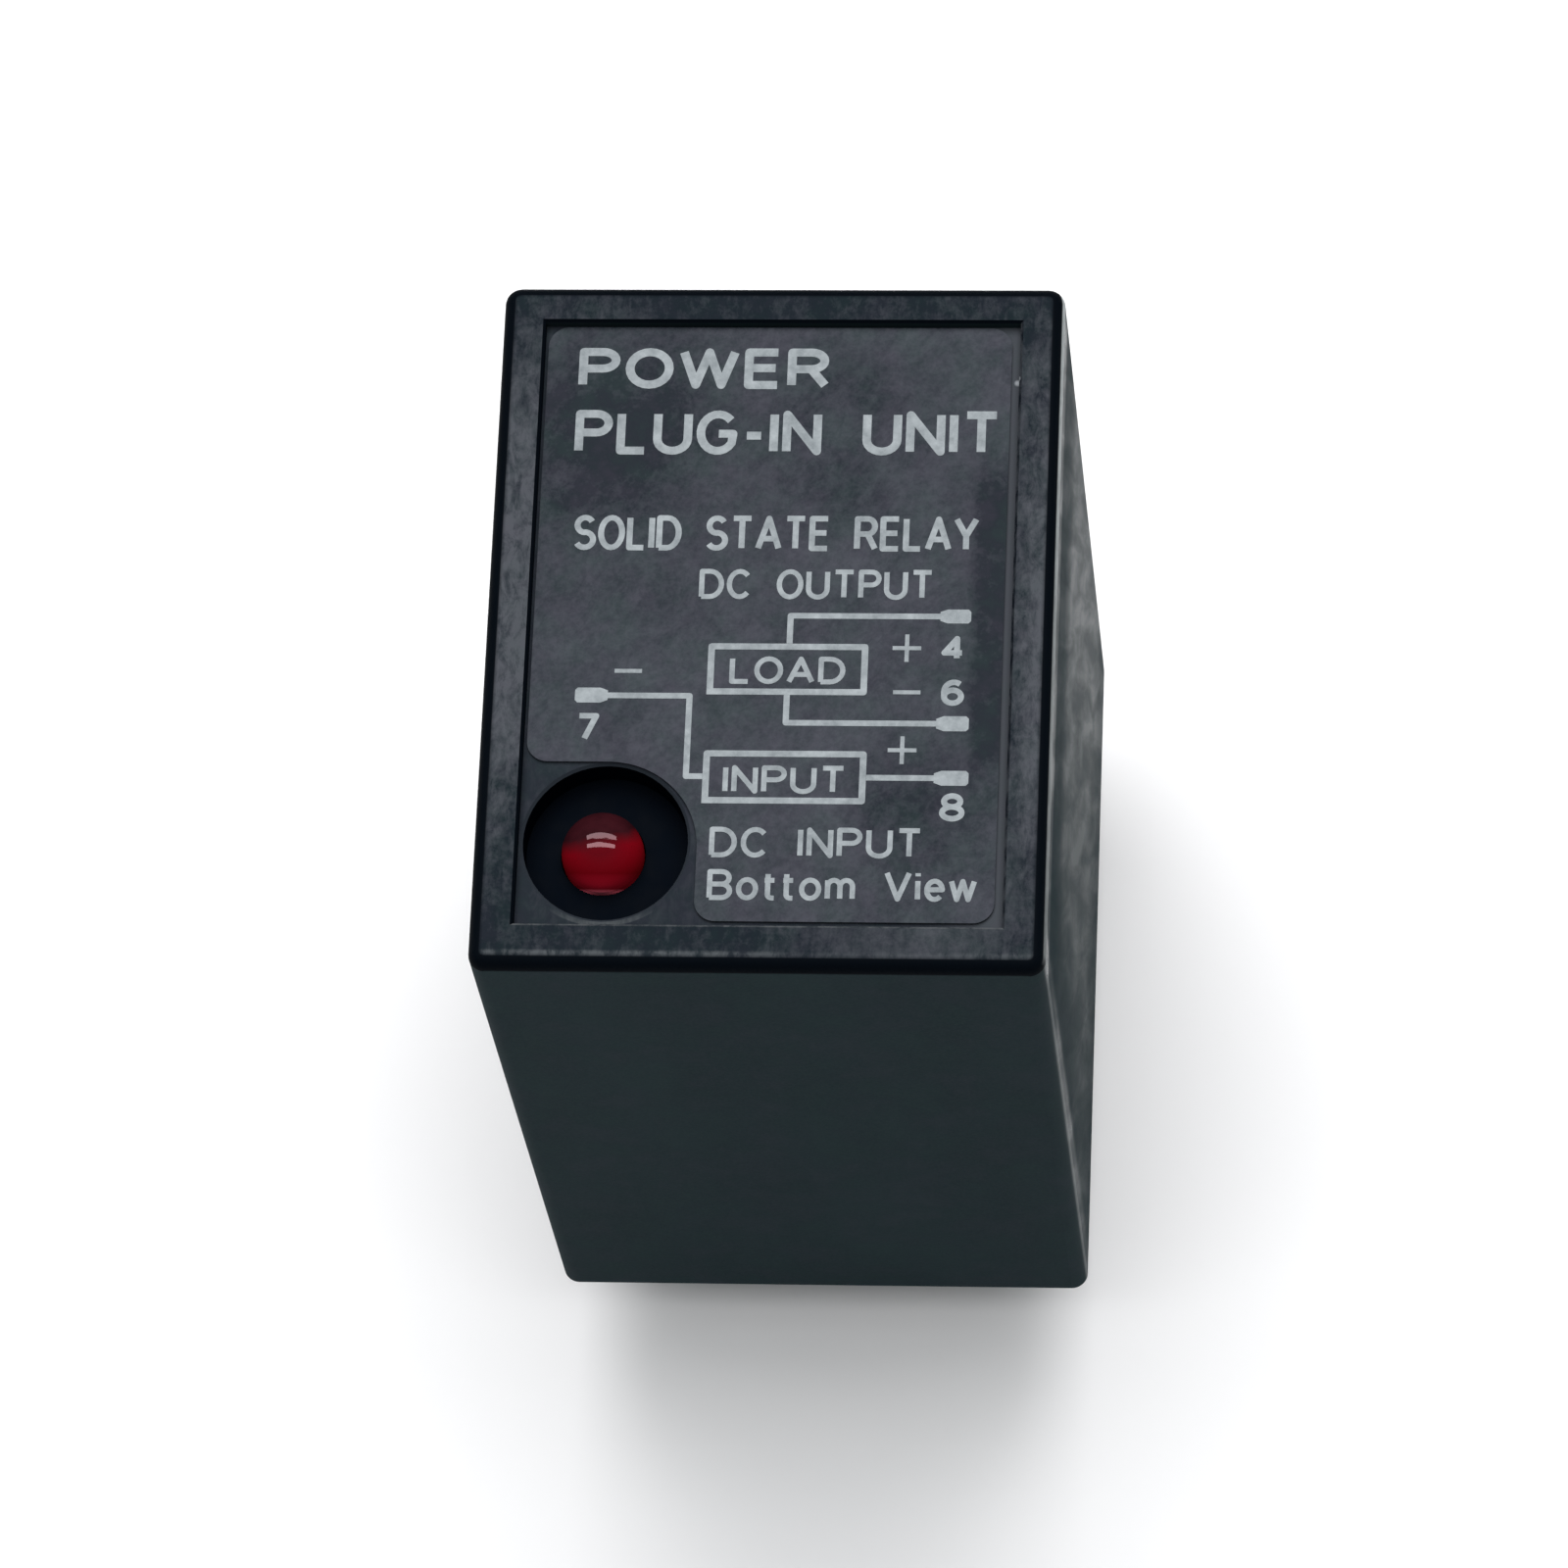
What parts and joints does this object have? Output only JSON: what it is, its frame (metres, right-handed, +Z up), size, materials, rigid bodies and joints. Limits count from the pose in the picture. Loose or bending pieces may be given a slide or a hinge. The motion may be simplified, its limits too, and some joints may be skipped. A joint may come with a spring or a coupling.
{
  "type": "solid state relay",
  "caption": "Plug-in solid state relay: black rectangular cover with a recessed top label and red lamp, over a base with flat blade terminals.",
  "frame": {"origin": "centre of the face that seats on the socket, which is the underside of the base and the lower edge of the cover", "axes": "+Z up from the socket through the label, +X to the right of the upright label across the narrow width, +Y along the length, away from the lamp end"},
  "size_m": [0.0216, 0.028, 0.0424],
  "materials": {
    "case_black": "satin",
    "base_black": "satin",
    "seal_epoxy": "gloss",
    "label_film": "satin",
    "blade_tin": "satin",
    "lead_tin": "satin",
    "wire_copper": "satin",
    "lamp_red": "gloss",
    "holder_black": "matte",
    "board_green": "satin",
    "solder": "gloss",
    "resistor_tan": "gloss",
    "diode_black": "gloss",
    "package_black": "matte",
    "capacitor_sleeve": "gloss",
    "varistor_blue": "gloss",
    "tab_nickel": "satin",
    "pad_grey": "matte",
    "screw_steel": "satin",
    "spreader_aluminium": "brushed"
  },
  "bodies": {
    "root": {"case_cover": "case_black", "terminal_base": "base_black", "seal_bead": "seal_epoxy", "label_film": "label_film", "terminal_4": "blade_tin", "terminal_6": "blade_tin", "terminal_7": "blade_tin", "terminal_8": "blade_tin", "wire_4": "wire_copper", "wire_6": "wire_copper", "wire_7": "wire_copper", "wire_8": "wire_copper", "lamp_lens": "lamp_red", "lamp_leads": "lead_tin", "lamp_holder": "holder_black", "circuit_board": "board_green", "solder_joints": "solder", "input_resistor": "resistor_tan", "lamp_resistor": "resistor_tan", "bias_resistor": "resistor_tan", "resistor_leads": "lead_tin", "protection_diode": "diode_black", "diode_leads": "lead_tin", "photocoupler": "package_black", "photocoupler_legs": "lead_tin", "filter_capacitor": "capacitor_sleeve", "capacitor_leads": "lead_tin", "driver_transistor": "package_black", "driver_legs": "lead_tin", "surge_varistor": "varistor_blue", "varistor_leads": "lead_tin", "power_transistor": "package_black", "power_tab": "tab_nickel", "power_legs": "lead_tin", "thermal_pad": "pad_grey", "tab_screw": "screw_steel", "heat_spreader": "spreader_aluminium"}
  },
  "joints": []
}
